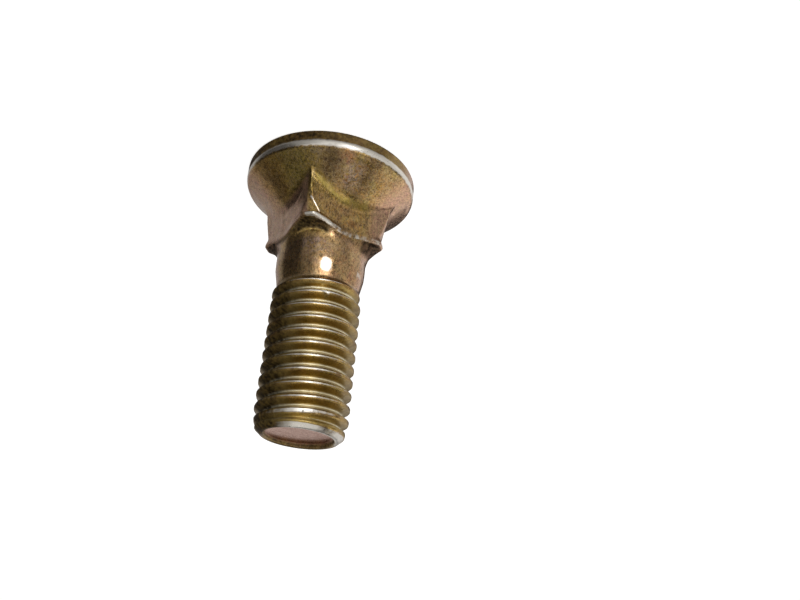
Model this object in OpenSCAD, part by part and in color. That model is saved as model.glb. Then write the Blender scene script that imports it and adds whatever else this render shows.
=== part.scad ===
// Plow bolt: a flat countersunk head, a square neck, a short plain shank and a
// coarse right-hand thread, all headed and rolled from one bar of steel.
//
// Frame: millimetres. The origin is the centre of the flat head face, +Z runs
// along the bolt to its threaded end, and X and Y are square to the neck's flats.

/* [Overall] */
// Length over all, from the head face to the threaded end
bolt_length = 50.8; // [45:0.1:76]
// Diameter of the plain shank
shank_d = 16.1; // [15.4:0.1:16.3]

/* [Head] */
// Diameter of the head
head_d = 31.8; // [29:0.1:34]
// Height of the upright land around the head
head_land = 2.9; // [2:0.1:3.2]
// Included angle of the countersunk cone
cone_angle = 98; // [86:1:102]
// Radius of the edge round the head face
face_edge_r = 0.5; // [0.3:0.1:1.2]
// Radius of the edge between the land and the cone
land_edge_r = 1.2; // [0.3:0.1:1.3]

/* [Square neck] */
// Distance from the head face to the neck's underside
neck_end = 14.4; // [13:0.1:16]
// Distance across the flats at the underside
neck_flats = 16.3; // [16.3:0.1:16.6]
// Draft of the flats, which widens the neck towards the head
neck_draft = 2.5; // [0:0.5:2.5]
// Distance across the corners just above the lip
neck_corners = 21; // [19.5:0.1:22]
// How far the corners lean out towards the head
corner_draft = 14; // [0:1:16]
// How far the lip at the underside stands out from the corners
lip_out = 0.35; // [0:0.05:0.6]
// Height of the lip
lip_h = 1.1; // [0.6:0.1:1.6]
// Leg of the sloped fillet between the underside and the shank
neck_fillet = 1.2; // [0.6:0.1:2]

/* [Shank] */
// Distance from the head face to the end of the full shank
shank_end = 20.6; // [18:0.1:22]
// Diameter that the shank tapers down to where the thread begins
relief_d = 14.8; // [14.2:0.1:15]

/* [Thread] */
// Advance of the right-hand thread in one turn
pitch = 2.309; // [1.8:0.001:2.6]
// Diameter over the thread crests
thread_d = 15.85; // [15.2:0.05:15.85]
// Distance from the head face to the first trace of the thread
thread_start = 23.5; // [23:0.1:26]
// Length over which the thread grows to its full depth
thread_runout = 3.4; // [1:0.1:6]
// Flat parts to one turn of the thread
thread_steps = 40; // [24:4:48]

/* [Threaded end] */
// Diameter of the end, inside its chamfer
end_d = 13; // [12:0.1:13.2]
// Diameter where the chamfer meets the lead-in
chamfer_d = 14.8; // [13.6:0.1:15]
// Height of the chamfer
chamfer_h = 0.8; // [0.4:0.1:1.2]
// Height of the lead-in, over which the last crests stay short of full size
lead_in_h = 2.6; // [1:0.1:4]
// Distance from the end at which the groove has died out
groove_stop = 0.3; // [0.1:0.1:1]
// Length over which the groove dies out
groove_fade = 1.6; // [0.5:0.1:3]
// Depth of the shallow cup that rolling leaves in the end
cup_depth = 0.4; // [0.1:0.1:0.8]
// Width of the cup's sloping wall
cup_wall = 0.7; // [0.3:0.1:1]
// Width of the flat rim between the cup and the chamfer
cup_rim = 0.15; // [0.1:0.05:0.4]

/* [Hidden] */
$fn = 96;

// Yellow zinc plating
plating = [0.55, 0.45, 0.2];

head_r = head_d / 2;
shank_r = shank_d / 2;
relief_r = relief_d / 2;
crest_r = thread_d / 2;
end_r = end_d / 2;
chamfer_r = chamfer_d / 2;

// Fall of the cone's radius for each millimetre along the bolt
cone_slope = tan(cone_angle / 2);
// Where the cone's line reaches the land
cone_start = head_land;
// Where the cone has run down to the shank
cone_end = cone_start + (head_r - shank_r) / cone_slope;
// Angle of the cone's surface, measured from the bolt's own direction
cone_lean = cone_angle / 2;

// Unified thread form: sharp height, depth of the cut and widths of the flats
sharp_h = pitch * cos(30);
thread_depth = sharp_h * 5 / 8;
crest_flat = pitch / 8;
root_flat = pitch / 4;
// Extra depth at the middle of the rounded root
root_sag = sharp_h / 16;
root_r = crest_r - thread_depth;
// How far the rolled body runs on inside the shank, so that the two are one
thread_overlap = 1.5;
thread_low = thread_start - thread_overlap;

// Points of one pitch of thread: [distance from the crest's middle, radius]
thread_form = [
    [-crest_flat / 2, crest_r],
    [crest_flat / 2, crest_r],
    [pitch / 2 - root_flat / 2, root_r],
    [pitch / 2, root_r - root_sag],
    [pitch / 2 + root_flat / 2, root_r],
];
form_points = len(thread_form);

// Points of an arc about [x, y], from angle a to angle b
function arc(x, y, r, a, b, steps = 5) = [
    for (i = [0:steps]) [x + r * cos(a + (b - a) * i / steps), y + r * sin(a + (b - a) * i / steps)]
];

function clamp(share) = min(1, max(0, share));

// How far the thread has grown at height z: not at all at its start, fully after the run-out
function growth(z) = clamp((z - thread_start) / thread_runout);

// How much of the groove is left at height z, near the threaded end
function groove_left(z) = clamp((bolt_length - groove_stop - z) / groove_fade);

// Largest radius at height z that the chamfer and the lead-in leave
function end_limit(z) =
    let (below = bolt_length - z)
    below < chamfer_h
        ? end_r + below * (chamfer_r - end_r) / chamfer_h
        : chamfer_r + (below - chamfer_h) * (crest_r - chamfer_r) / lead_in_h;

// Radius of the threaded body at height z, where the full thread form has radius r
function body_r(z, r) =
    let (cut_r = crest_r + (r - crest_r) * groove_left(z))
    min(end_limit(z), relief_r + (cut_r - relief_r) * growth(z));

// The head: the flat face, the land and the cone, turned about the axis
module head() {
    // The rounded edge is tangent to the upright land and to the leaning cone
    edge_drop = land_edge_r * tan((90 - cone_lean) / 2);
    rotate_extrude()
        polygon(concat(
            [[0, 0]],
            arc(head_r - face_edge_r, face_edge_r, face_edge_r, -90, 0),
            arc(head_r - land_edge_r, cone_start - edge_drop, land_edge_r, 0, 90 - cone_lean),
            [[shank_r, cone_end], [0, cone_end]]
        ));
}

// A bar with four flats that lean in towards the threaded end
module drafted_bar(height) {
    half_end = neck_flats / 2;
    half_start = half_end + neck_end * tan(neck_draft);
    half_top = half_end - (height - neck_end) * tan(neck_draft);
    long = 4 * half_start;
    intersection_for (turn = [0, 90])
        rotate([90, 0, turn])
            translate([0, 0, -long / 2])
                linear_extrude(long)
                    polygon([[-half_start, 0], [half_start, 0], [half_top, height], [-half_top, height]]);
}

// The round outline that trims the neck's corners, with the lip and the fillet below it
module corner_outline() {
    corner_r = neck_corners / 2;
    lip_start = neck_end - lip_h;
    lip_r = corner_r + lip_out;
    rotate_extrude()
        polygon([
            [0, cone_start],
            [corner_r + (lip_start - cone_start) * tan(corner_draft), cone_start],
            [corner_r, lip_start],
            [lip_r, neck_end - lip_h / 3],
            [lip_r, neck_end],
            [shank_r + neck_fillet, neck_end],
            [shank_r, neck_end + neck_fillet],
            [0, neck_end + neck_fillet],
        ]);
}

// The square neck that keeps the bolt from turning
module square_neck() {
    intersection() {
        drafted_bar(neck_end + neck_fillet);
        corner_outline();
    }
}

// The plain shank and the taper down to the rolled end
module shank() {
    rotate_extrude()
        polygon([
            [0, cone_start],
            [shank_r, cone_start + (head_r - shank_r) / cone_slope / 2],
            [shank_r, shank_end],
            [relief_r + 0.02, thread_start],
            [0, thread_start],
        ]);
}

// The threaded body: a net of points that climbs with the thread, closed by a ring at each end
module threaded_body() {
    // The net has enough rows of the form to pass both ends in every column
    first_turn = floor(thread_low / pitch) - 3;
    last_turn = ceil(bolt_length / pitch) + 2;
    rows = (last_turn - first_turn) * form_points;
    // The thread's crest meets the end of the bolt over the X axis
    phase = bolt_length - floor(bolt_length / pitch) * pitch;

    // Height and radius of the net's point in column i, row m
    function form(m) = thread_form[m % form_points];
    function row_z(i, m) =
        phase + pitch * (first_turn + floor(m / form_points) + i / thread_steps) + form(m)[0];
    // Number of the point: rows past an end fall on that end's ring
    function point_no(i, m) =
        i == thread_steps ? point_no(0, m + form_points)
        : m >= rows || row_z(i, m) >= bolt_length ? rows * thread_steps + thread_steps + i
        : row_z(i, m) <= thread_low ? rows * thread_steps + i
        : m * thread_steps + i;
    function place(i, z, r) = [r * cos(360 * i / thread_steps), r * sin(360 * i / thread_steps), z];

    net = [
        for (m = [0:rows - 1], i = [0:thread_steps - 1])
            place(i, row_z(i, m), body_r(row_z(i, m), form(m)[1]))
    ];
    low_ring = [for (i = [0:thread_steps - 1]) place(i, thread_low, relief_r)];
    end_ring = [for (i = [0:thread_steps - 1]) place(i, bolt_length, end_r)];

    quads = [
        for (m = [0:rows - 1], i = [0:thread_steps - 1])
            [point_no(i, m), point_no(i, m + 1), point_no(i + 1, m + 1), point_no(i + 1, m)]
    ];
    halves = [for (q = quads, h = [[q[0], q[1], q[2]], [q[0], q[2], q[3]]]) h];
    skin = [for (t = halves) if (t[0] != t[1] && t[1] != t[2] && t[2] != t[0]) t];
    low_cap = [for (i = [0:thread_steps - 1]) rows * thread_steps + i];
    end_cap = [for (i = [thread_steps - 1:-1:0]) rows * thread_steps + thread_steps + i];

    polyhedron(points = concat(net, low_ring, end_ring), faces = concat(skin, [low_cap, end_cap]), convexity = 12);
}

// The shallow cup in the end
module end_cup() {
    cup_r = end_r - cup_rim;
    clear = 0.5;
    wall_slope = cup_wall / cup_depth;
    translate([0, 0, bolt_length - cup_depth])
        cylinder(h = cup_depth + clear, r1 = cup_r - cup_wall, r2 = cup_r + clear * wall_slope);
}

module bolt() {
    color(plating)
        difference() {
            union() {
                head();
                square_neck();
                shank();
                threaded_body();
            }
            end_cup();
        }
}

bolt();
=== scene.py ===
"""Plow bolt: the forged blank, the rolled thread, the yellow zinc finish and the studio round it.

The shapes are in millimetres while they are modelled, and are brought to metres when they are done.
"""

import logging
import math
from dataclasses import dataclass, field
from enum import Enum
from functools import cached_property

import bpy
import numpy as np
from mathutils import Matrix, Vector


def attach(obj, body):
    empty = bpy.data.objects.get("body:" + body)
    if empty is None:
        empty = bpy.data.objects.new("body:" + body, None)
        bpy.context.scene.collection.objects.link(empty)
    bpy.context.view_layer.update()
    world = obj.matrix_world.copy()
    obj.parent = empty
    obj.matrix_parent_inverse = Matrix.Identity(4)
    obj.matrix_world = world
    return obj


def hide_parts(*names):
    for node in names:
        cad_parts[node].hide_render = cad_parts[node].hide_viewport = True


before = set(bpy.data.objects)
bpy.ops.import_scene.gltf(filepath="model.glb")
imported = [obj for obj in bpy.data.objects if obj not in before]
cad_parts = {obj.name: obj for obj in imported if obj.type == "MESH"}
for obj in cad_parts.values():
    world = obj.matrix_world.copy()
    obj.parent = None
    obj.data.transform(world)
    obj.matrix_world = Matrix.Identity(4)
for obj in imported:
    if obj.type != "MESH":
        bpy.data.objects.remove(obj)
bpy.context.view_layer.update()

LOG = logging.getLogger("plow_bolt")
# Columns of points round the bolt
COLUMNS = 272
TURN = 2.0 * math.pi
# Direction of the bolt's front, about its axis, in degrees
FACING = -62.85
# A millimetre in metres
MM = 0.001
# Points closer than these, in millimetres, become one: along seams, and where rings close
SEAM = 2e-3
CLOSE = 1e-4

Array = np.ndarray
Triple = tuple[float, float, float]
Paint = tuple[float, float, float, float]
Socket = bpy.types.NodeSocket
Piece = bpy.types.Object


# ---------------- small tools


def smooth_min(a: Array, b: Array, blend: float) -> Array:
    """Takes the smaller of two radii, with a rounded change of width blend between them."""
    share = np.clip(0.5 + 0.5 * (b - a) / blend, 0.0, 1.0)
    return b * (1.0 - share) + a * share - blend * share * (1.0 - share)


def smooth_max(a: Array, b: Array, blend: float) -> Array:
    """Takes the larger of two radii, with a hollow fillet from one to the other."""
    return -smooth_min(-a, -b, blend)


def ease(value: Array, low: float | Array, high: float | Array) -> Array:
    """Rises smoothly from 0 at low to 1 at high."""
    share = np.clip((value - low) / (high - low), 0.0, 1.0)
    return share * share * (3.0 - 2.0 * share)


def band(value: Array, start: float, full: float, fade: float | Array, end: float | Array) -> Array:
    """Rises from 0 at start to 1 at full, and falls from 1 at fade to 0 at end."""
    return ease(value, start, full) * (1.0 - ease(value, fade, end))


def bell(value: Array, middle: float, width: float) -> Array:
    """Gives a soft bump of height 1, which falls to about a third at width from its middle."""
    return np.exp(-(((value - middle) / width) ** 2))


def turn_from(angle: Array, middle: float) -> Array:
    """Measures an angle from another one by the shorter way round, from -180 to 180 degrees."""
    return (angle - middle + 180.0) % 360.0 - 180.0


def ripple(points: Array, length: float, seed: int) -> Array:
    """Gives gentle unevenness, the same on every run.

    Args:
        points: Places in millimetres.
        length: Typical length of a wave in millimetres.
        seed: Which of many patterns to take.

    Returns:
        Heights of about -1 to 1.
    """
    rng = np.random.default_rng(seed)
    total = np.zeros(len(points))
    waves = 9
    for _ in range(waves):
        way = rng.normal(size=3)
        way *= TURN / (length * rng.uniform(0.7, 1.5)) / np.linalg.norm(way)
        total += np.sin(points @ way + rng.uniform(0.0, TURN))
    return total / math.sqrt(waves)


def read_points(piece: Piece) -> Array:
    """Reads the places of a mesh's points.

    Args:
        piece: The mesh object.

    Returns:
        One row of x, y and z for each point.
    """
    flat = np.empty(len(piece.data.vertices) * 3)
    piece.data.vertices.foreach_get("co", flat)
    return flat.reshape(-1, 3)


def write_points(piece: Piece, points: Array) -> None:
    """Moves the points of a mesh to new places, one row of x, y and z each."""
    piece.data.vertices.foreach_set("co", points.ravel())
    piece.data.update()


def round_parts(points: Array) -> tuple[Array, Array, Array]:
    """Splits places into angles in degrees, radii and heights about the bolt's axis."""
    angle = np.degrees(np.arctan2(points[:, 1], points[:, 0]))
    return angle, np.hypot(points[:, 0], points[:, 1]), points[:, 2].copy()


def from_round(angle: Array, radius: Array, height: Array) -> Array:
    """Puts places together from angles in degrees, radii and heights."""
    a = np.radians(angle)
    return np.stack([radius * np.cos(a), radius * np.sin(a), height], axis=1)


def deselect_all() -> None:
    """Leaves edit mode and clears the selection."""
    if bpy.context.object and bpy.context.object.mode != "OBJECT":
        bpy.ops.object.mode_set(mode="OBJECT")
    bpy.ops.object.select_all(action="DESELECT")


def take(piece: Piece) -> None:
    """Selects one piece alone and makes it active.

    Args:
        piece: The piece that the next operators work on.
    """
    deselect_all()
    piece.select_set(True)
    bpy.context.view_layer.objects.active = piece


def edit_all() -> None:
    """Goes into edit mode with the whole mesh selected."""
    bpy.ops.object.mode_set(mode="EDIT")
    bpy.ops.mesh.select_all(action="SELECT")


def draw_line(name: str, places: list[tuple[float, float]]) -> Piece:
    """Draws a line of points in the XZ plane, extruding it from one point to the next.

    Args:
        name: Name of the piece.
        places: Radius and height of each point, in order.

    Returns:
        The line as a mesh object, in edit mode.
    """
    deselect_all()
    bpy.ops.mesh.primitive_plane_add(size=1.0, location=(0.0, 0.0, 0.0))
    line = bpy.context.object
    line.name = name
    edit_all()
    bpy.ops.mesh.merge(type="CENTER")
    r, z = places[0]
    bpy.ops.transform.translate(value=(r, 0.0, z))
    for next_r, next_z in places[1:]:
        step = (next_r - r, 0.0, next_z - z)
        bpy.ops.mesh.extrude_vertices_move(TRANSFORM_OT_translate={"value": step})
        r, z = next_r, next_z
    return line


def spread(first: float, last: float, parts: int) -> list[float]:
    """Gives evenly spaced values, the first one left out."""
    return [first + (last - first) * i / parts for i in range(1, parts + 1)]


# ---------------- sizes and shapes of the bolt


@dataclass
class ForgedBlank:
    """The head, square neck and shank, headed from one bar. Sizes in millimetres."""

    head_r: float = 15.9
    land: float = 2.9
    cone_slope: float = math.tan(math.radians(49.0))
    face_edge: float = 0.5
    land_edge: float = 1.8
    cone_fillet: float = 1.6
    neck_end: float = 14.4
    half_flats: float = 8.15
    draft: float = math.tan(math.radians(2.5))
    square_blend: float = 0.22
    corner_r: float = 10.6
    corner_lean: float = math.tan(math.radians(14.0))
    corner_blend: float = 0.16
    front_corner: float = -45.0
    front_reach: float = 36.0
    # The lip: its height at the front corner, its drop at the others, its arch between them
    lip_start: float = 13.3
    lip_z: float = 14.3
    lip_drop: float = 0.55
    lip_arch: float = 15.65
    lip_reach: float = 0.75
    lip_out: float = 0.4
    lip_out_flats: float = 0.1
    crown_h: float = 0.46
    gusset: float = 3.0
    gusset_curve: float = 1.7
    shank_r: float = 8.05
    shank_z: float = 18.4
    # Radii of the rings on the face, and heights up to which the others are evenly spaced
    face_rings: tuple[float, ...] = (3.0, 7.0, 11.0, 14.0)
    rings: tuple[tuple[float, int], ...] = (
        (4.8, 6), (10.4, 35), (13.0, 13), (16.0, 36), (18.4, 16), (22.0, 9),
    )
    # The plain bar: heights and radii along it, and how far its changes are softened
    stock_z: tuple[float, ...] = (0.0, 19.3, 20.8, 23.55, 60.0)
    stock_r: tuple[float, ...] = (8.05, 8.05, 7.98, 7.4, 7.4)
    stock_soft: float = 0.12
    # The chip: heights, and the distance of its surface from the axis at each
    chip_z: tuple[float, ...] = (9.6, 10.3, 13.15, 13.55, 14.1)
    chip_r: tuple[float, ...] = (12.6, 11.82, 9.95, 10.05, 10.8)
    chip_reach: float = 0.6

    def cone(self, z: Array) -> Array:
        """Radius of the countersunk cone at height z."""
        return self.head_r - self.cone_slope * (z - self.land)

    def half(self, z: Array) -> Array:
        """Half the distance across the flats at height z."""
        return self.half_flats + (self.neck_end - z) * self.draft

    def stock(self, z: Array) -> Array:
        """Radius of the plain shank and of its taper down to the thread at height z."""
        steps = (-self.stock_soft, 0.0, self.stock_soft)
        return sum(np.interp(z + step, self.stock_z, self.stock_r) for step in steps) / len(steps)

    def chip_depth(self, z: Array) -> Array:
        """Distance of the chip's surface from the axis at height z."""
        return np.interp(z, self.chip_z, self.chip_r)

    @staticmethod
    def from_flat(angle: Array) -> Array:
        """Degrees from the middle of the nearest flat, up to 45 at a corner."""
        return np.abs((angle + 45.0) % 90.0 - 45.0)

    def front(self, angle: Array) -> Array:
        """How near the angles are to the front corner, from 0 to 1."""
        return bell(turn_from(angle, self.front_corner), 0.0, self.front_reach)

    @property
    def edge_turn(self) -> float:
        """Angle through which the land's edge is rounded, in radians."""
        return math.pi / 2.0 - math.atan(self.cone_slope)

    @property
    def edge_z(self) -> float:
        """Height at which the rounding of the land's edge begins."""
        return self.land - self.land_edge * math.tan(self.edge_turn / 2.0)

    @property
    def cone_z(self) -> float:
        """Height at which the cone proper begins, just above the rounded edge of the land."""
        return self.edge_z + self.land_edge * math.sin(self.edge_turn) + 1e-3

    def outline(self) -> list[tuple[float, float]]:
        """Lists the rings of the blank, from the face's middle upwards.

        Returns:
            Radius and height of each ring.
        """
        def arc(z: float, size: float, angles: list[float]) -> list[tuple[float, float]]:
            """Lists the points of an arc that ends or begins on the land, at height z."""
            middle = self.head_r - size
            return [(middle + size * math.cos(a), z + size * math.sin(a)) for a in angles]

        rows = [(r, 0.0) for r in (0.0, *self.face_rings, self.head_r - self.face_edge)]
        rows += arc(self.face_edge, self.face_edge, spread(-math.pi / 2.0, 0.0, 6))
        rows += [(self.head_r, z) for z in spread(self.face_edge, self.edge_z, 5)]
        rows += arc(self.edge_z, self.land_edge, spread(0.0, self.edge_turn, 12))
        z = rows[-1][1]
        for stop, parts in self.rings:
            heights = spread(z, stop, parts)
            rows += [(max(float(self.cone(h)), self.shank_r), h) for h in heights]
            z = stop
        return rows

    def lip_height(self, angle: Array, reach: Array) -> Array:
        """Height of the lip, which arches between the corners, for the square's edge at reach."""
        low = self.lip_z + self.lip_drop * (1.0 - self.front(angle))
        return low + (self.lip_arch - low) * np.exp(-(reach - self.half_flats) / self.lip_reach)

    def build(self) -> Piece:
        """Spins the outline and presses the neck square.

        Returns:
            The blank, open at its upper end.
        """
        blank = draw_line("blank", self.outline())
        bpy.ops.mesh.select_all(action="SELECT")
        bpy.ops.mesh.spin(
            steps=COLUMNS, dupli=False, angle=TURN, use_auto_merge=True,
            center=(0.0, 0.0, 0.0), axis=(0.0, 0.0, 1.0),
        )
        bpy.ops.mesh.select_all(action="SELECT")
        bpy.ops.mesh.remove_doubles(threshold=CLOSE)
        bpy.ops.object.mode_set(mode="OBJECT")
        self.press(blank)
        return blank

    def press(self, blank: Piece) -> None:
        """Shapes the cone, the four flats, the corners, the lip and the hollow underside.

        Args:
            blank: The spun blank.
        """
        angle, radius, z = round_parts(read_points(blank))
        # The columns crowd together at the corners of the neck
        crowd = 0.62 * band(z, 3.6, 5.2, 15.6, 18.4)
        angle = angle - np.degrees(crowd / 4.0) * np.sin(np.radians(4.0 * (angle - 45.0)))
        square, pressed = self.neck(angle, z)
        lip = self.lip_height(angle, np.minimum(square, self.corner_r))
        pressed = pressed + self.roll(angle, z - lip)
        # Under the lip a hollow gusset runs down to the shank
        under = (z - lip) / (self.gusset * (1.0 - 0.6 * self.front(angle)))
        under = np.clip(under, 0.0, 1.0)
        kept = (1.0 - under) ** self.gusset_curve * (1.0 - 0.2 * ease(under, 0.0, 0.08))
        gusset = self.shank_r + np.maximum(pressed - self.shank_r, 0.0) * kept
        body = np.where(z < lip, pressed, gusset)
        neck = (z > self.cone_z) & (z < self.shank_z)
        radius = np.where(neck, smooth_max(self.cone(z), body, self.cone_fillet), radius)
        radius = np.where(z >= self.shank_z, self.stock(z), radius)
        write_points(blank, from_round(angle, radius, z))

    def neck(self, angle: Array, z: Array) -> tuple[Array, Array]:
        """Gives the outline of the four flats, and the same with its corners trimmed and chipped.

        Args:
            angle: Angles in degrees.
            z: Heights.

        Returns:
            Radii of the square, and of the neck without its lip.
        """
        from_flat = np.radians(self.from_flat(angle))
        near = self.half(z) / np.cos(from_flat)
        far = self.half(z) / np.cos(np.pi / 2.0 - np.maximum(from_flat, 1e-3))
        square = smooth_min(near, far, self.square_blend)
        corners = self.corner_r + np.maximum(self.lip_start - z, 0.0) * self.corner_lean
        off = np.radians(turn_from(angle, self.front_corner))
        chip = self.chip_depth(z) / np.cos(np.clip(off, -self.chip_reach, self.chip_reach))
        chipped = np.where(np.abs(off) < self.chip_reach, np.minimum(corners, chip), corners)
        return square, smooth_min(square, chipped, self.corner_blend)

    def roll(self, angle: Array, below: Array) -> Array:
        """Rolls the lower edge of each face over into a lip, which flares out at the corners.

        Args:
            angle: Angles in degrees.
            below: Heights, measured from the lip's lower edge.

        Returns:
            How far each point stands out.
        """
        corner = ease(self.from_flat(angle), 28.0, 42.0)
        flare = self.lip_out_flats + (self.lip_out - self.lip_out_flats) * corner
        foremost = bell(turn_from(angle, self.front_corner), -5.0, 26.0)
        from_crown = (below + self.crown_h) / self.crown_h
        run_in = bell(from_crown / (1.8 - 0.9 * foremost), 0.0, 1.0)
        crown = np.sqrt(np.clip(1.0 - from_crown**2, 0.0, 1.0))
        rolled = np.where(from_crown < 0.0, run_in, crown)
        flared = 0.5 * flare * ease(below, -2.2, -0.3)
        return flared + (0.5 * flare + 0.04 + 0.28 * foremost) * rolled


@dataclass
class RolledThread:
    """The coarse right-hand thread and the cupped end. Sizes in millimetres."""

    pitch: float = 2.309
    crest_r: float = 7.925
    length: float = 50.8
    crest_flat: float = 0.5
    crest_blend: float = 0.1
    root_blend: float = 0.16
    root_sag: float = 0.1
    root_half: float = 0.26
    # Heights between which the thread grows, and distances from the end at which it is lost
    grow_low: float = 23.1
    grow_high: float = 27.2
    groove_stop: float = 0.3
    groove_fade: float = 1.6
    end_r: float = 6.5
    chamfer_r: float = 7.4
    chamfer: float = 0.8
    lead_in: float = 2.6
    stock_blend: float = 0.08
    join_z: float = 22.0
    drawn_r: float = 7.0
    # Distances from the crest's middle at which the profile has points
    steps: tuple[float, ...] = (0.08, 0.2, 0.25, 0.32, 0.6, 0.86, 0.97, 1.08)
    # Radius of each ring from the rim to the middle of the cup, and its height from the end
    cup: tuple[tuple[float, float], ...] = (
        (6.3, 0.0), (6.08, -0.01), (5.93, -0.04), (5.83, -0.11), (5.74, -0.23), (5.64, -0.35),
        (5.5, -0.42), (5.2, -0.45), (4.4, -0.46), (3.0, -0.455), (1.4, -0.45),
    )
    # How far the end leans out of square, from which height on
    lean: float = 0.45
    lean_z: float = 47.0

    def form(self, away: Array) -> Array:
        """Radius of the full thread at a distance along the bolt from the middle of the crest.

        Args:
            away: Distances from the crest's middle, up to half a pitch either way.

        Returns:
            Radii of the sixty-degree form, with a round root and eased crest edges.
        """
        a = np.abs(away)
        root_r = self.crest_r - self.pitch * math.cos(math.radians(30.0)) * 5.0 / 8.0
        flank = self.crest_r + (self.crest_flat / 2.0 - a) * math.tan(math.radians(60.0))
        crest = smooth_min(np.full_like(a, self.crest_r), flank, self.crest_blend)
        from_root = (self.pitch / 2.0 - a) / self.root_half
        round_root = root_r - self.root_sag * (1.0 - from_root**2)
        return smooth_max(crest, round_root, self.root_blend)

    def away_from_crest(self, angle: Array, z: Array) -> Array:
        """Distance along the bolt from the nearest crest, at these angles and heights."""
        crest_z = self.length + self.pitch * angle / 360.0
        return (z - crest_z + self.pitch / 2.0) % self.pitch - self.pitch / 2.0

    def limit(self, z: Array) -> Array:
        """Largest radius that the chamfer and the lead-in leave.

        Args:
            z: Heights.

        Returns:
            Radii.
        """
        below = [0.0, self.chamfer, self.chamfer + self.lead_in, 60.0]
        return np.interp(
            self.length - z, below, [self.end_r, self.chamfer_r, self.crest_r, self.crest_r + 0.05]
        )

    def radius(self, angle: Array, z: Array) -> Array:
        """Radius of the rolled end at these angles and heights.

        Args:
            angle: Angles in degrees.
            z: Heights.

        Returns:
            Radii of the thread, with its run-out and its fading groove.
        """
        left = np.clip((self.length - self.groove_stop - z) / self.groove_fade, 0.0, 1.0)
        growth = ease(z, self.grow_low, self.grow_high)
        full = self.form(self.away_from_crest(angle, z))
        cut = self.crest_r + (full - self.crest_r) * left
        stock = ForgedBlank().stock(z)
        return smooth_min(self.limit(z), stock + (cut - stock) * growth, self.stock_blend)

    def end_drop(self, off: Array, radius: Array, z: Array) -> Array:
        """How far the end has been drawn down out of square, most on the left of the front."""
        across = 0.5 - 0.5 * radius / self.chamfer_r * np.sin(np.radians(off))
        return self.lean * ease(z, self.lean_z, self.length) * across

    def build(self) -> Piece:
        """Screws one pitch of the thread up the bolt, trims it to length and closes the end.

        Returns:
            The threaded end, open where it meets the shank.
        """
        half = self.pitch / 2.0
        places = [-half, *(-s for s in reversed(self.steps)), *self.steps, half]
        low_turn = math.floor(self.join_z / self.pitch) - 2
        past_turns = self.length - math.floor(self.length / self.pitch) * self.pitch
        base = past_turns + low_turn * self.pitch
        thread = draw_line("thread", [(self.drawn_r, base + a) for a in places])
        bpy.ops.object.mode_set(mode="OBJECT")
        screw = thread.modifiers.new("screw", "SCREW")
        screw.axis = "Z"
        screw.angle = TURN
        screw.screw_offset = self.pitch
        screw.iterations = math.ceil((self.length - self.join_z) / self.pitch) + 4
        screw.steps = COLUMNS
        screw.render_steps = COLUMNS
        take(thread)
        bpy.ops.object.modifier_apply(modifier=screw.name)
        angle, _, z = round_parts(read_points(thread))
        z = np.clip(z, self.join_z, self.length)
        write_points(thread, from_round(angle, self.radius(angle, z), z))
        edit_all()
        bpy.ops.mesh.remove_doubles(threshold=SEAM)
        self.close_end(thread)
        bpy.ops.object.mode_set(mode="OBJECT")
        return thread

    def close_end(self, thread: Piece) -> None:
        """Extrudes the end ring inwards as a rim, the cup's wall and its floor.

        Args:
            thread: The threaded end, in edit mode.
        """
        bpy.ops.mesh.select_all(action="DESELECT")
        bpy.ops.object.mode_set(mode="OBJECT")
        at_end = read_points(thread)[:, 2] > self.length - CLOSE
        thread.data.vertices.foreach_set("select", at_end)
        for edge in thread.data.edges:
            a, b = edge.vertices
            edge.select = bool(at_end[a] and at_end[b])
        thread.data.polygons.foreach_set("select", np.zeros(len(thread.data.polygons), bool))
        bpy.ops.object.mode_set(mode="EDIT")
        bpy.ops.mesh.select_mode(type="EDGE")
        radius, height = self.end_r, self.length
        for ring_r, drop in self.cup:
            bpy.ops.mesh.extrude_edges_move(TRANSFORM_OT_translate={"value": (0.0, 0.0, 0.0)})
            scale = ring_r / radius
            bpy.ops.transform.resize(value=(scale, scale, 1.0), center_override=(0.0, 0.0, height))
            next_height = self.length + drop
            bpy.ops.transform.translate(value=(0.0, 0.0, next_height - height))
            radius, height = ring_r, next_height
        bpy.ops.mesh.merge(type="CENTER")
        bpy.ops.mesh.select_mode(type="VERT")


# ---------------- finishes


class Trait(Enum):
    """Values that the bolt carries on its points, and the material reads."""

    # Wear, with painted highlights
    WEAR = "wear"
    # Rose tint, with a painted sheen on the sides
    ROSE = "rose"
    RUST = "rust"
    FLANK = "flank"
    # Dark nicks and a darker cup wall, with painted shade
    SOOT = "soot"
    SMOOTH = "smooth"
    # A painted reflection along the thread's roots
    ROOT = "root"
    MOSS = "moss"
    END = "end"
    HAZE = "haze"
    UMBER = "umber"
    # Painted light on the slope under the front lip
    COLLAR = "collar"


class Sum(Enum):
    """Sums that a node works on two values."""

    ADD = "ADD"
    SUBTRACT = "SUBTRACT"
    MULTIPLY = "MULTIPLY"
    ABSOLUTE = "ABSOLUTE"
    LARGER = "MAXIMUM"


class Blend(Enum):
    """Ways to lay one colour over another."""

    OVER = "MIX"
    SOFT = "OVERLAY"


def srgb(r: int, g: int, b: int) -> Paint:
    """Turns a colour as a paint chart gives it into the shader's linear one.

    Args:
        r: Red, from 0 to 255.
        g: Green, from 0 to 255.
        b: Blue, from 0 to 255.

    Returns:
        The linear colour, solid.
    """
    parts = [c / 255.0 for c in (r, g, b)]
    linear = [c / 12.92 if c <= 0.04045 else ((c + 0.055) / 1.055) ** 2.4 for c in parts]
    return (linear[0], linear[1], linear[2], 1.0)


def new_material(name: str) -> bpy.types.Material:
    """Makes a material with an empty node tree.

    Args:
        name: Name of the material.

    Returns:
        The material.
    """
    material = bpy.data.materials.new(name)
    material.use_nodes = True
    material.node_tree.nodes.clear()
    return material


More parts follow.
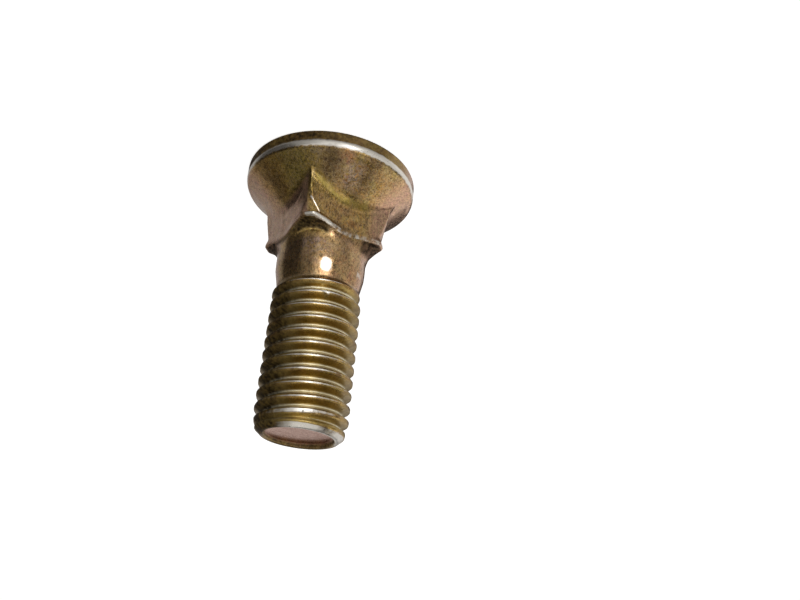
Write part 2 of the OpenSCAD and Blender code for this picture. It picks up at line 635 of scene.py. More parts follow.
@dataclass
class NodeDesk:
    """Lays out and joins the nodes of one material or backdrop."""

    tree: bpy.types.NodeTree

    @cached_property
    def place(self) -> Socket:
        """The piece's own coordinates."""
        return self.node("TexCoord").outputs["Object"]

    def node(self, kind: str, inputs: dict[str | int, object] | None = None) -> bpy.types.Node:
        """Adds a node.

        Args:
            kind: Blender's name of the node, without its first two words.
            inputs: Numbers, colours or sockets for its inputs, by name or number.

        Returns:
            The node.
        """
        node = self.tree.nodes.new("ShaderNode" + kind)
        for key, value in (inputs or {}).items():
            if isinstance(value, bpy.types.NodeSocket):
                self.tree.links.new(value, node.inputs[key])
            else:
                node.inputs[key].default_value = value
        return node

    def noise(
        self, size_mm: float, detail: float = 3.0, rough: float = 0.55, warp: float = 0.0,
        stretch: Triple = (1.0, 1.0, 1.0),
    ) -> Socket:
        """Adds a cloudy pattern.

        Args:
            size_mm: Rough size of its patches in millimetres.
            detail: How many finer layers it has.
            rough: How strong the finer layers are.
            warp: How much it is drawn out of shape.
            stretch: How often it repeats along each axis, compared with the size.

        Returns:
            The pattern, from 0 to 1 about a middle of one half.
        """
        # Each size starts elsewhere, so that two patterns never line up
        start = (size_mm * 0.137, size_mm * 0.071, size_mm * 0.213)
        turn = self.node("Mapping", {"Vector": self.place, "Scale": stretch, "Location": start})
        return self.node("TexNoise", {
            "Vector": turn.outputs["Vector"], "Scale": 1.0 / (MM * size_mm),
            "Detail": detail, "Roughness": rough, "Distortion": warp,
        }).outputs["Fac"]

    def ramp(self, value: Socket, low: float, high: float) -> Socket:
        """Turns a value into a share that rises smoothly from 0 to 1.

        Args:
            value: The value.
            low: Where the share is 0.
            high: Where the share is 1.

        Returns:
            The share.
        """
        node = self.node("MapRange", {"Value": value, "From Min": low, "From Max": high})
        node.interpolation_type = "SMOOTHSTEP"
        return node.outputs["Result"]

    def span(self, value: Socket, low: float, high: float, at_low: float, at_high: float) -> Socket:
        """Maps a value evenly from between low and high to between at_low and at_high."""
        return self.node("MapRange", {
            "Value": value, "From Min": low, "From Max": high, "To Min": at_low, "To Max": at_high,
        }).outputs["Result"]

    def sum_of(self, kind: Sum, a: Socket, b: Socket | float = 0.0) -> Socket:
        """Works one sum on two values.

        Args:
            kind: Which sum.
            a: First value.
            b: Second value, for the sums that take two.

        Returns:
            The result.
        """
        node = self.node("Math", {0: a, 1: b})
        node.operation = kind.value
        return node.outputs[0]

    def times(self, a: Socket, b: Socket | float) -> Socket:
        """Multiplies two values."""
        return self.sum_of(Sum.MULTIPLY, a, b)

    def plus(self, a: Socket, b: Socket | float) -> Socket:
        """Adds two values."""
        return self.sum_of(Sum.ADD, a, b)

    def trait(self, trait: Trait) -> Socket:
        """Reads a value that the piece carries on its own points.

        Args:
            trait: Which value.

        Returns:
            The value at each place.
        """
        node = self.node("Attribute")
        node.attribute_name = trait.value
        return node.outputs["Fac"]

    def lay(
        self, under: Socket | Paint, over: Socket | Paint, share: Socket, how: Blend = Blend.OVER
    ) -> Socket:
        """Lays one colour over another.

        Args:
            under: The colour below.
            over: The colour above.
            share: How much of the upper one shows.
            how: How the two are blended.

        Returns:
            The mixed colour.
        """
        node = self.tree.nodes.new("ShaderNodeMix")
        node.data_type = "RGBA"
        node.blend_type = how.value
        for value, number in ((share, 0), (under, 6), (over, 7)):
            if isinstance(value, tuple):
                node.inputs[number].default_value = value
            else:
                self.tree.links.new(value, node.inputs[number])
        return node.outputs[2]


@dataclass(frozen=True)
class YellowZinc:
    """Yellow zinc plating: golden olive and brown, rosy and green in places, with bright edges, and
    with painted highlights, a painted sheen and painted shade.
    """

    gold: Paint = srgb(184, 150, 80)
    olive: Paint = srgb(150, 126, 60)
    # A lighter gold for the painted light on the slope under the front lip
    collar: Paint = srgb(200, 166, 92)
    moss: Paint = srgb(132, 116, 40)
    brown: Paint = srgb(138, 103, 52)
    umber: Paint = srgb(92, 60, 28)
    # Rose tint of the plating, and of the painted sheen on the sides
    rose: Paint = srgb(180, 140, 120)
    rust: Paint = srgb(168, 104, 60)
    haze: Paint = srgb(166, 148, 142)
    # Bare metal, and the colour of the painted highlights
    bright: Paint = srgb(236, 231, 222)
    flank: Paint = srgb(158, 134, 70)
    # Near-white cream of the painted reflection along the thread's roots
    root: Paint = srgb(238, 230, 200)
    end: Paint = srgb(196, 140, 116)
    grit: Paint = srgb(74, 52, 26)
    fleck: Paint = srgb(206, 180, 132)
    # The colour of the nicks and the darker cup wall, and of the painted shade
    soot: Paint = srgb(34, 24, 12)
    coat_ior: float = 1.7
    coat_rough: float = 0.16
    bump: float = 0.28
    bump_mm: float = 0.02

    def make(self) -> bpy.types.Material:
        """Builds the plating.

        Returns:
            The material.
        """
        material = new_material("yellow_zinc")
        desk = NodeDesk(material.node_tree)
        layers = PlatingLayers(desk, self)
        soot = desk.trait(Trait.SOOT)
        shader = desk.node("BsdfPrincipled", {
            "Base Color": layers.handled(layers.weathered(layers.plated())),
            "Roughness": layers.roughness(),
            "Normal": layers.relief(),
            "Coat IOR": self.coat_ior,
            "Coat Roughness": self.coat_rough,
            # Soot and painted shade hide the clear coat, the gloss and the metal
            "Coat Weight": desk.span(soot, 0.0, 0.8, 0.22, 0.0),
            "Specular IOR Level": desk.span(soot, 0.0, 0.8, 0.5, 0.08),
            "Metallic": desk.span(soot, 0.0, 1.0, 1.0, 0.1),
        })
        desk.node("OutputMaterial", {"Surface": shader.outputs["BSDF"]})
        return material


@dataclass
class PlatingLayers:
    """The layers of the plating, laid out on its desk from its paints."""

    desk: NodeDesk
    paints: YellowZinc

    def __post_init__(self) -> None:
        """Makes the patterns that the colour, the gloss and the relief share."""
        desk = self.desk
        self.mottle = desk.noise(1.6, detail=5.0, rough=0.62, warp=0.8)
        self.grain = desk.noise(0.3, rough=0.6)
        # How free each place is to be rough and spotted
        self.free = desk.times(desk.sum_of(Sum.SUBTRACT, desk.trait(Trait.SMOOTH), 1.0), -1.0)
        # The worn places and the painted highlights have an uneven edge
        uneven = desk.span(desk.noise(0.8, detail=4.0), 0.3, 0.7, -0.15, 0.15)
        uneven = desk.times(uneven, desk.span(self.free, 0.3, 1.0, 0.5, 1.0))
        self.worn_and_highlit = desk.ramp(desk.plus(desk.trait(Trait.WEAR), uneven), 0.34, 0.7)

    def patchy(self, trait: Trait, thin: float, thick: float) -> Socket:
        """Makes a trait vary with the mottle, from thin to thick."""
        share = self.desk.span(self.mottle, 0.35, 0.65, thin, thick)
        return self.desk.times(self.desk.trait(trait), share)

    def plated(self) -> Socket:
        """Lays the colours of the plating over each other.

        Returns:
            The colour of the plating.
        """
        desk, paints = self.desk, self.paints
        cloud = desk.noise(6.0, detail=4.0, warp=0.6)
        rusty = desk.noise(2.6, detail=4.0, rough=0.6, warp=0.9)
        stain = desk.noise(3.2, detail=4.0, rough=0.6, warp=0.7)
        veil = desk.ramp(desk.noise(1.0, detail=5.0, rough=0.7, warp=1.4), 0.42, 0.6)
        haze = desk.plus(desk.times(desk.trait(Trait.HAZE), 0.7), 0.14)
        blush = desk.span(desk.noise(2.2), 0.3, 0.7, 0.85, 1.15)
        colour = paints.gold
        for paint, share in (
            (paints.olive, desk.ramp(cloud, 0.38, 0.62)),
            (paints.brown, desk.times(desk.ramp(self.mottle, 0.46, 0.66), 0.75)),
            (paints.rust, desk.times(desk.ramp(rusty, 0.34, 0.58), desk.trait(Trait.RUST))),
            (paints.umber, desk.times(desk.ramp(stain, 0.48, 0.66), 0.6)),
            (paints.umber, self.patchy(Trait.UMBER, 0.6, 1.0)),
            (paints.haze, desk.times(desk.times(haze, veil), self.free)),
            (paints.moss, self.patchy(Trait.MOSS, 0.9, 0.5)),
            (paints.flank, self.patchy(Trait.FLANK, 0.95, 0.6)),
            # The thread's roots get a painted reflection
            (paints.root, desk.trait(Trait.ROOT)),
            # Painted light on the slope under the front lip
            (paints.collar, desk.trait(Trait.COLLAR)),
            # Rose tint, with a painted sheen on the sides away from the front
            (paints.rose, desk.times(desk.trait(Trait.ROSE), blush)),
            (paints.end, desk.trait(Trait.END)),
        ):
            colour = desk.lay(colour, paint, share)
        return colour

    def weathered(self, colour: Socket) -> Socket:
        """Breaks a colour up with fine streaks, dark grit and curled light flecks.

        Args:
            colour: The colour of the plating.

        Returns:
            The weathered colour.
        """
        desk, rose = self.desk, self.desk.trait(Trait.ROSE)
        streak = desk.noise(0.34, rough=0.65, warp=0.3, stretch=(1.0, 1.0, 0.5))
        tone = desk.plus(desk.times(streak, 0.6), desk.times(self.grain, 0.4))
        tone = desk.span(tone, 0.39, 0.61, 0.0, 1.0)
        depth = desk.times(desk.span(rose, 0.0, 1.0, 0.62, 0.42), self.free)
        colour = desk.lay(colour, tone, depth, Blend.SOFT)
        grit = desk.times(desk.ramp(self.grain, 0.5, 0.62), desk.span(rose, 0.0, 1.0, 0.16, 0.0))
        colour = desk.lay(colour, self.paints.grit, desk.times(grit, self.free))
        # The flecks follow the lines along which a warped pattern crosses its middle
        curl = desk.noise(0.8, rough=0.6, warp=1.6, stretch=(1.0, 1.0, 0.7))
        curl = desk.sum_of(Sum.ABSOLUTE, desk.sum_of(Sum.SUBTRACT, curl, 0.5))
        fleck = desk.times(desk.times(desk.ramp(curl, 0.045, 0.005), 0.6), self.free)
        return desk.lay(colour, self.paints.fleck, fleck)

    def handled(self, colour: Socket) -> Socket:
        """Rubs a colour bright where it is worn or a highlight is painted, and lays the soot and
        the painted shade over it.

        Args:
            colour: The colour of the plating.

        Returns:
            The colour as it has been handled.
        """
        uneven = self.desk.span(self.desk.noise(0.7), 0.35, 0.65, 0.78, 1.18)
        soot = self.desk.times(self.desk.trait(Trait.SOOT), uneven)
        colour = self.desk.lay(colour, self.paints.bright, self.worn_and_highlit)
        return self.desk.lay(colour, self.paints.soot, soot)

    def roughness(self) -> Socket:
        """Adds up the roughness of the patches, the grain, the thread, the wear and painted
        highlights, and the soot and painted shade.

        Returns:
            The roughness.
        """
        desk = self.desk
        rough = desk.span(self.mottle, 0.3, 0.7, 0.2, 0.32)
        rough = desk.plus(rough, desk.span(self.grain, 0.3, 0.7, -0.05, 0.07))
        for value, strength in (
            (desk.trait(Trait.FLANK), 0.06), (desk.trait(Trait.ROOT), 0.12), (self.worn_and_highlit, 0.06),
            (desk.trait(Trait.SOOT), 0.4),
        ):
            rough = desk.plus(rough, desk.times(value, strength))
        return rough

    def relief(self) -> Socket:
        """Gives the plating its low relief.

        Returns:
            The bumped normal.
        """
        desk, fine = self.desk, self.desk.noise(0.14, detail=2.0, rough=0.5)
        height = desk.plus(desk.times(self.mottle, 1.2), desk.times(self.grain, 0.8))
        return desk.node("Bump", {
            "Height": desk.plus(height, desk.times(fine, 0.25)),
            "Strength": self.paints.bump, "Distance": self.paints.bump_mm * MM,
        }).outputs["Normal"]


# ---------------- marks of use, and painted highlights, sheen and shade


@dataclass(frozen=True)
class Patch:
    """A stain, a nick or a patch of painted shade: where it lies, how far it reaches, how strong it
    is and how it slants.
    """

    trait: Trait
    off: float
    z: float
    wide: float
    high: float
    share: float
    slant: float = 0.0

    def spot(self, off: Array, z: Array) -> Array:
        """Strength of the patch at these angles off the front and these heights."""
        level = z - self.slant * (off - self.off)
        return self.share * bell(off, self.off, self.wide) * bell(level, self.z, self.high)


def patches_of(trait: Trait, *places: tuple[float, ...]) -> tuple[Patch, ...]:
    """Makes patches of one kind, each from its off, z, wide, high, share and any slant."""
    return tuple(Patch(trait, *place) for place in places)


@dataclass
class Marks:
    """Works out where the bolt's skin is worn, rosy, rusty or sooty, and where highlights, sheen
    and shade are painted on it.

    Angles are in degrees off the front, counted to the right. Sizes are in millimetres.
    """

    blank: ForgedBlank
    thread: RolledThread
    patches: tuple[Patch, ...]
    angle: Array
    radius: Array
    z: Array
    off: Array

    def __post_init__(self) -> None:
        """Measures each point from the crests, the flats, the lip and the end."""
        self.away = np.abs(self.thread.away_from_crest(self.angle, self.z))
        self.threaded = ease(self.z, 23.6, 25.2) * ease(self.radius, 6.2, 6.4)
        from_flat = np.radians(self.blank.from_flat(self.angle))
        self.square = self.blank.half(self.z) / np.cos(from_flat)
        self.reach = np.minimum(self.square, self.blank.corner_r)
        self.below = self.z - self.blank.lip_height(self.angle, self.reach)
        self.front = self.blank.front(self.angle)
        end_z = self.z + self.thread.end_drop(self.off, self.radius, self.z)
        self.rim = ease(end_z, 49.95, 50.2) * ease(self.radius, 5.8, 6.0)
        self.land = band(self.z, 0.2, 0.5, 2.1, 2.5) * ease(self.radius, 15.2, 15.5)
        self.end_face = ease(self.z, 48.8, 49.0) * (1.0 - ease(self.radius, 5.5, 5.75))
        # The fillet between the cone and the flat right of the front corner
        fillet = bell(self.blank.cone(self.z) - self.square, 0.2, 0.9) * ease(self.z, 4.0, 5.0)
        self.fillet = fillet * band(self.off, -16.0, -13.0, 34.0, 60.0)

    def wear(self) -> Array:
        """Gives the wear of the crests, the land's edge, the lip, the rim and the chip's edge,
        stronger towards the front as a painted highlight, and a painted highlight on the taper.

        Returns:
            Shares of bare metal and of painted highlight.
        """
        off, z, blank = self.off, self.z, self.blank
        crest = self.threaded * (1.0 - ease(self.away, 0.1, 0.22))
        last_crests = ease(z, 45.8, 46.6) * self.threaded * (1.0 - ease(self.away, 0.22, 0.42))
        land_edge = bell(z, 2.62, 0.62) * ease(self.radius, 14.6, 15.1)
        # A bright patch painted on the taper where the key lamp's highlight falls
        painted_highlight = bell(off, 6.0, 9.0) * bell(z, 21.9, 1.5)
        lip = band(self.below, -1.05, -0.75, 0.0, 0.08) * ease(z, 12.6, 13.2)
        lip = lip * ease(off, -25.0, -18.0)
        chip_side = blank.half(z) / (blank.chip_depth(z) * math.sqrt(0.5)) - 1.0
        from_chip = -turn_from(self.angle, blank.front_corner)
        from_chip = from_chip - np.maximum(np.degrees(np.arctan(chip_side)), 0.0)
        chip_edge = bell(from_chip, 0.0, 1.3) * band(z, 10.2, 10.8, 13.3, 13.6)
        # The shares rise towards the front, where the lamps' highlights fall: wear and painted
        # highlight
        return np.maximum.reduce([
            crest * (0.36 + 0.36 * bell(off, 2.0, 34.0)),
            last_crests * (0.3 + 0.4 * bell(off, -8.0, 30.0)),
            land_edge * (0.62 + 0.5 * bell(off, 10.0, 60.0)),
            painted_highlight * 0.95,
            lip * (0.45 + 0.55 * bell(off, -13.0, 15.0)),
            self.rim * (0.26 + 0.56 * bell(off, 2.0, 30.0) + 0.5 * bell(off, 75.0, 34.0)),
            chip_edge * 0.6,
        ])

    def soot(self) -> Array:
        """Gives painted shade under the lip, in the crease below the left flat, on the land, on the
        thread's sides and on the rim, and darkens the cup's wall.

        Returns:
            Shares of painted shade, and of the darker cup wall.
        """
        off, z = self.off, self.z
        # The cup's wall is darkened
        cup_wall = ease(z, 49.4, 49.6) * bell(self.radius, 5.72, 0.15)
        # Painted shadow under the lip, reaching less far at the front corner
        reach = 2.6 - 1.5 * self.front
        under_lip = band(self.below, 0.0, 0.06, 0.6 * reach, reach) * ease(self.reach, 8.5, 9.1)
        # Painted shade in the crease below the left flat
        groove = bell(self.below, 0.3, 0.4) * ease(z, 13.6, 14.0)
        groove = groove * ease(-off, 20.0, 32.0) * ease(off, -112.0, -100.0)
        # Painted shade on the land, heavier left of the front
        shade = 0.1 + 0.5 * ease(off, -150.0, -100.0) * (1.0 - ease(off, 2.0, 44.0))
        shade = shade + 0.25 * bell(off, -22.0, 22.0) + 0.25 * bell(off, -72.0, 26.0)
        # Painted shade on the thread's sides, heavier on the left
        left = 0.82 * ease(-off, 12.0, 48.0) * (1.0 - 0.6 * ease(-off, 74.0, 92.0))
        side = self.threaded * (left + 0.3 * ease(off, 40.0, 74.0))
        # Painted shade on the rim's left and back
        rear = 0.6 * ease(np.abs(off), 110.0, 140.0)
        edge = self.rim * (0.85 * band(-off, 16.0, 40.0, 84.0, 105.0) + rear)
        return np.maximum.reduce([
            cup_wall * 0.75, under_lip * 0.88, groove * 0.7, self.land * shade, side, edge,
        ])

    def rose(self) -> Array:
        """Gives the rosy tinge: a painted sheen on the two sides away from the front, and the
        plating's tint on the left flat and the shank.

        Returns:
            Shares of rose tint and painted sheen.
        """
        off, z = self.off, self.z
        # A painted sheen on the two sides, away from the front
        aside = np.maximum(ease(-off, 58.0, 80.0), ease(off, 46.0, 66.0))
        aside = aside * (1.0 - 0.7 * ease(np.abs(off), 115.0, 150.0))
        flat = ease(z, 4.0, 6.0) * (1.0 - ease(self.below, -0.2, 0.1))
        flat = flat * (1.0 - ease(self.radius - self.square, 0.3, 1.0))
        flat = flat * ease(-off, 18.5, 23.0) * ease(off, -120.0, -105.0)
        tint_and_sheen = np.maximum.reduce([aside * 0.85, 0.3 * ease(z, 15.5, 16.5), flat * 0.9])
        return tint_and_sheen * (1.0 - ease(z, 24.0, 25.2))

    def traits(self) -> dict[Trait, Array]:
        """Puts the marks of each kind together with the patches of that kind.

        Returns:
            The values of each trait, from 0 to 1.
        """
        off, z, away, threaded = self.off, self.z, self.away, self.threaded
        nothing = np.zeros(len(z))
        cone = band(z, 3.0, 3.6, 9.0, 11.0)
        values = {
            Trait.WEAR: self.wear(),
            Trait.ROSE: self.rose(),
            Trait.RUST: 0.4 * band(z, 3.0, 5.0, 24.0, 26.0) * ease(off, -30.0, 20.0),
            Trait.FLANK: threaded * ease(away, 0.26, 0.4) * (1.0 - ease(z, 49.9, 50.1)),
            Trait.SOOT: self.soot(),
            Trait.SMOOTH: np.maximum.reduce(
                [threaded * 0.7, self.end_face * 0.8, self.land * 0.6, self.fillet * 0.6]
            ),
            # A cream line along the roots: a painted reflection
            Trait.ROOT: threaded * ease(away, 0.93, 1.03) * (1.0 - ease(z, 49.0, 49.6)),
            Trait.MOSS: np.maximum(cone * bell(off, -30.0, 20.0), self.fillet),
            Trait.END: self.end_face,
            Trait.HAZE: nothing,
            Trait.UMBER: nothing,
            # A lighter band under the front lip, where it faces the light: painted light
            Trait.COLLAR: self.front * band(self.below, 0.8, 1.1, 2.0, 2.8),
        }
        for patch in self.patches:
            values[patch.trait] = np.maximum(values[patch.trait], patch.spot(off, z))
        return {trait: np.clip(shares, 0.0, 1.0) for trait, shares in values.items()}


# ---------------- the whole bolt


@dataclass
class PlowBolt:
    """The bolt: one solid piece with its marks of forging and handling, in yellow zinc."""

    blank: ForgedBlank = field(default_factory=ForgedBlank)
    thread: RolledThread = field(default_factory=RolledThread)
    finish: YellowZinc = field(default_factory=YellowZinc)
    cup_lean: float = 0.36
    patches: tuple[Patch, ...] = (
        *patches_of(
            Trait.RUST, (8.0, 4.3, 6.0, 1.3, 1.0), (12.0, 6.4, 5.0, 1.4, 0.8),
            (47.0, 8.1, 8.0, 1.2, 0.8), (41.0, 22.6, 9.0, 1.4, 0.8),
        ),
        *patches_of(
            Trait.HAZE, (17.0, 6.0, 9.0, 1.6, 1.0), (-15.5, 3.9, 7.0, 0.7, 0.9),
            (-14.0, 18.4, 20.0, 2.0, 1.3), (28.0, 17.6, 10.0, 1.2, 0.7),
        ),
        *patches_of(
            Trait.UMBER, (-5.0, 4.8, 9.0, 2.6, 1.0), (27.0, 5.0, 5.0, 3.0, 0.75),
            (50.0, 5.0, 4.0, 2.0, 0.4), (-56.0, 5.5, 7.0, 3.4, 0.7), (-8.0, 17.0, 14.0, 1.2, 0.6),
        ),
        # Dark patches: the cone's middle, painted shade just left of the front corner, two nicks
        # and a pit
        *patches_of(
            Trait.SOOT, (-2.0, 4.6, 9.0, 2.6, 0.6), (-24.0, 11.0, 4.5, 3.2, 0.75),
            (9.6, 27.6, 5.0, 0.2, 0.8, 0.088), (0.8, 48.26, 1.2, 0.2, 1.0),
            (60.5, 45.9, 1.6, 0.2, 1.0),
        ),
        *patches_of(
            Trait.WEAR, (3.0, 24.95, 10.0, 0.22, 1.0), (9.6, 27.1, 6.0, 0.3, 1.0, 0.088),
            (-2.5, 19.5, 5.0, 0.12, 0.6, 0.1), (6.7, 18.5, 4.0, 0.12, 0.6, -0.2),
            (60.0, 21.6, 15.0, 1.1, 0.48),
        ),
    )

    def build(self) -> Piece:
        """Joins the blank and the thread into one skin.

        Returns:
            The finished bolt, in metres.
        """
        blank = self.blank.build()
        thread = self.thread.build()
        deselect_all()
        thread.select_set(True)
        blank.select_set(True)
        bpy.context.view_layer.objects.active = blank
        bpy.ops.object.join()
        blank.name = "plow_bolt"
        blank.data.name = "plow_bolt"
        take(blank)
        edit_all()
        bpy.ops.mesh.remove_doubles(threshold=SEAM)
        bpy.ops.mesh.dissolve_degenerate(threshold=CLOSE)
        bpy.ops.mesh.normals_make_consistent(inside=False)
        bpy.ops.object.mode_set(mode="OBJECT")
        self.age(blank)
        self.mark(blank)
        edit_all()
        bpy.ops.transform.resize(value=(MM, MM, MM), center_override=(0.0, 0.0, 0.0))
        bpy.ops.object.mode_set(mode="OBJECT")
        bpy.ops.object.shade_smooth()
        return blank

    def age(self, bolt: Piece) -> None:
        """Gives the skin the unevenness of forging, rolling and handling.

        Args:
            bolt: The joined bolt, in millimetres.
        """
        points = read_points(bolt)
        angle, radius, z = round_parts(points)
        off = -turn_from(angle, FACING)
        pressed = band(z, 3.4, 4.2, 15.0, 16.0)
        radius = radius + 0.035 * ripple(points, 5.0, 3) * pressed
        radius = radius + 0.012 * ripple(points, 1.6, 5) * pressed
        land = band(z, 0.6, 1.2, 2.0, 2.6)
        radius = radius - 0.02 * (1.0 + ripple(points, 3.5, 7)) * land
        z = z - self.thread.end_drop(off, radius, z)
        # The floor of the cup is drawn down on one side
        in_cup = (1.0 - ease(radius, 5.6, 5.85)) * ease(z, 49.5, 49.8)
        across = 0.5 - 0.5 * radius / 5.6 * np.cos(np.radians(off + 40.0))
        z = z - self.cup_lean * in_cup * across
        crests = band(z, 24.0, 27.0, 50.2, 50.6) * ease(radius, 7.3, 7.8)
        radius = radius - 0.02 * (1.0 + ripple(points, 1.5, 11)) * crests
        write_points(bolt, from_round(angle, radius, z))

    def mark(self, bolt: Piece) -> None:
        """Writes the marks, and the painted highlights, sheen and shade, on the bolt's points, for
        the material to read.

        Args:
            bolt: The joined bolt, in millimetres.
        """
        angle, radius, z = round_parts(read_points(bolt))
        off = -turn_from(angle, FACING)
        marks = Marks(self.blank, self.thread, self.patches, angle, radius, z, off)
        for trait, shares in marks.traits().items():
            layer = bolt.data.attributes.new(trait.value, "FLOAT", "POINT")
            layer.data.foreach_set("value", shares.astype(np.float32))

    def dress(self, bolt: Piece) -> None:
        """Gives the bolt its plating and puts it in place of the plain solid.

        Args:
            bolt: The finished bolt.
        """
        bolt.data.materials.clear()
        bolt.data.materials.append(self.finish.make())
        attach(bolt, "root")
        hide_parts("bolt")


# ---------------- studio


WHITE: Triple = (1.0, 1.0, 1.0)
PALE: Triple = (1.0, 0.98, 0.96)
CREAM: Triple = (1.0, 0.98, 0.94)
DUSK: Paint = (0.05, 0.047, 0.045, 1.0)


@dataclass(frozen=True)
class Softbox:
    """A soft lamp: where it hangs, as seen from the bolt, how large it looks and how bright."""

    name: str
    off: float
    rise: float
    wide: float
    high: float
    level: float
    tint: Triple = WHITE
    away: float = 0.5


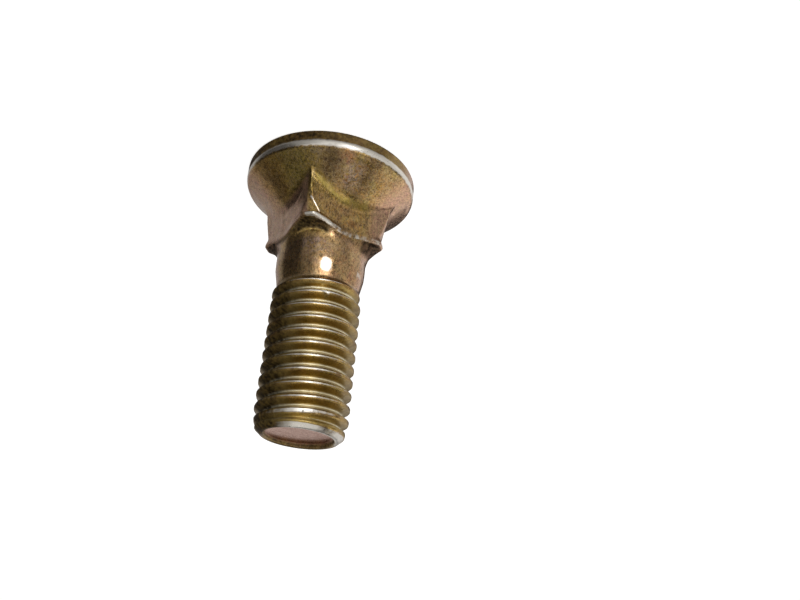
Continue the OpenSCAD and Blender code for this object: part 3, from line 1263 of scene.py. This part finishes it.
@dataclass
class Studio:
    """The pale floor, the soft lamps, the surroundings and the camera. Sizes in metres."""

    middle: Vector = field(default_factory=lambda: Vector((0.0, 0.0, 0.022)))
    floor_r: float = 4.0
    floor_z: float = -0.0002
    floor_grey: Paint = (0.8, 0.8, 0.8, 1.0)
    tent_r: float = 2.0
    lens: float = 32.85
    film: float = 36.0
    eye: Triple = (0.053929, -0.105151, 0.081959)
    eye_right: Triple = (-0.8035, -0.5918, -0.0648)
    eye_forward: Triple = (-0.5060, 0.7403, -0.4426)
    lamps: tuple[Softbox, ...] = (
        Softbox("key", 12.0, -2.0, 24.0, 22.0, 4.2),
        Softbox("key_high", 16.0, 33.0, 52.0, 28.0, 1.4),
        Softbox("brow", -6.0, -2.0, 24.0, 24.0, 1.0),
        Softbox("front_high", -18.0, 24.0, 50.0, 34.0, 0.6, CREAM),
        Softbox("front_low", 8.0, -33.0, 46.0, 34.0, 0.62, CREAM),
        Softbox("front_left", -34.0, -24.0, 34.0, 44.0, 0.25, CREAM),
        Softbox("right_fill", 60.0, -2.0, 48.0, 24.0, 0.6, CREAM),
        Softbox("right_mid", 66.0, 25.0, 34.0, 24.0, 0.5, CREAM),
        Softbox("right_low", 58.0, -31.0, 50.0, 28.0, 0.42, CREAM),
        Softbox("rear_right", 112.0, -25.0, 56.0, 44.0, 0.75, PALE),
        Softbox("far_right", 124.0, 19.0, 62.0, 40.0, 1.0, PALE),
        Softbox("rear_left", -151.0, -12.0, 72.0, 62.0, 0.37, PALE),
        Softbox("rear_high", 180.0, 20.0, 60.0, 40.0, 0.3, PALE),
        Softbox("top_left", -60.0, 62.0, 60.0, 40.0, 0.2, (1.0, 0.98, 0.92)),
        Softbox("left", -112.0, 28.0, 40.0, 32.0, 0.13, (1.0, 0.84, 0.6)),
        Softbox("top", 36.0, 76.0, 44.0, 44.0, 0.64, (1.0, 0.99, 0.96)),
        Softbox("upper_right", 95.0, 42.0, 32.0, 20.0, 0.75),
    )

    def build(self) -> None:
        """Sets up everything round the bolt."""
        self.floor()
        self.surroundings()
        self.tent()
        for lamp in self.lamps:
            self.hang(lamp)
        self.camera()
        bpy.context.scene.view_settings.view_transform = "Standard"

    def hang(self, lamp: Softbox) -> None:
        """Hangs one softbox so that it faces the bolt.

        Args:
            lamp: Where it goes and how it shines.
        """
        side, up = math.radians(FACING - lamp.off), math.radians(lamp.rise)
        way = Vector((math.cos(side) * math.cos(up), math.sin(side) * math.cos(up), math.sin(up)))
        data = bpy.data.lights.new(lamp.name, "AREA")
        data.shape = "RECTANGLE"
        data.size, data.size_y = (
            2.0 * lamp.away * math.tan(math.radians(a / 2.0)) for a in (lamp.wide, lamp.high)
        )
        data.energy = lamp.level * math.pi * data.size * data.size_y
        data.color = lamp.tint
        thing = bpy.data.objects.new(lamp.name, data)
        bpy.context.scene.collection.objects.link(thing)
        thing.location = self.middle + way * lamp.away
        thing.rotation_euler = way.to_track_quat("Z", "Y").to_euler()
        thing.visible_camera = False

    def floor(self) -> None:
        """Lays the pale floor, which takes the bolt's shadow and is left out of its reflections."""
        deselect_all()
        bpy.ops.mesh.primitive_circle_add(
            vertices=96, radius=self.floor_r, fill_type="NGON", location=(0.0, 0.0, self.floor_z)
        )
        floor = bpy.context.object
        floor.name = "floor"
        material = new_material("floor_white")
        desk = NodeDesk(material.node_tree)
        reach = desk.node("VectorMath", {0: desk.place})
        reach.operation = "LENGTH"
        # Far from the lamps the paper glows more, so that it stays as pale as it is near them
        glow = desk.node("Emission", {
            "Strength": desk.span(reach.outputs["Value"], 0.12, 0.4, 0.8, 1.0),
        })
        matt = desk.node("BsdfDiffuse", {"Color": self.floor_grey})
        both = desk.node("AddShader", {0: glow.outputs[0], 1: matt.outputs[0]})
        desk.node("OutputMaterial", {"Surface": both.outputs[0]})
        floor.data.materials.append(material)
        floor.visible_glossy = False
        floor.visible_diffuse = False
        floor.visible_shadow = False

    def surroundings(self) -> None:
        """Makes the world a white backdrop, which the camera, gloss and glass see."""
        world = bpy.data.worlds.new("studio")
        bpy.context.scene.world = world
        world.use_nodes = True
        world.node_tree.nodes.clear()
        desk = NodeDesk(world.node_tree)
        path = desk.node("LightPath")
        seen = path.outputs["Is Camera Ray"]
        for ray in ("Is Glossy Ray", "Is Transmission Ray"):
            seen = desk.sum_of(Sum.LARGER, seen, path.outputs[ray])
        dark, white = (desk.node("Background", {"Color": paint}) for paint in (DUSK, (*WHITE, 1.0)))
        mix = desk.node("MixShader", {0: seen, 1: dark.outputs[0], 2: white.outputs[0]})
        desk.node("OutputWorld", {"Surface": mix.outputs[0]})

    def tent(self) -> None:
        """Hangs dark cloth round the lamps, which the metal reflects between them."""
        deselect_all()
        bpy.ops.mesh.primitive_uv_sphere_add(
            segments=32, ring_count=16, radius=self.tent_r, location=(0.0, 0.0, 0.0)
        )
        tent = bpy.context.object
        tent.name = "dark_tent"
        material = new_material("tent_cloth")
        desk = NodeDesk(material.node_tree)
        cloth = desk.node("Emission", {"Color": DUSK})
        desk.node("OutputMaterial", {"Surface": cloth.outputs[0]})
        tent.data.materials.append(material)
        tent.visible_camera = False
        tent.visible_shadow = False

    def camera(self) -> None:
        """Sets the camera, which sees the bolt with its threaded end downwards in the picture."""
        data = bpy.data.cameras.new("camera")
        data.lens = self.lens
        data.sensor_width = self.film
        data.clip_start = 0.005
        camera = bpy.data.objects.new("camera", data)
        bpy.context.scene.collection.objects.link(camera)
        forward = Vector(self.eye_forward).normalized()
        up = Vector(self.eye_right).normalized().cross(forward).normalized()
        right = forward.cross(up).normalized()
        turn = Matrix((right, up, -forward)).transposed().to_4x4()
        camera.matrix_world = Matrix.Translation(self.eye) @ turn
        bpy.context.scene.camera = camera


def main() -> None:
    """Builds the bolt and the studio in order."""
    logging.basicConfig(level=logging.INFO, format="%(name)s: %(message)s")
    plow_bolt = PlowBolt()
    bolt = plow_bolt.build()
    plow_bolt.dress(bolt)
    LOG.info("%s: %d points, %d faces", bolt.name, len(bolt.data.vertices), len(bolt.data.polygons))
    Studio().build()
    LOG.info("studio: floor, lamps and camera")


if __name__ == "__main__":
    main()
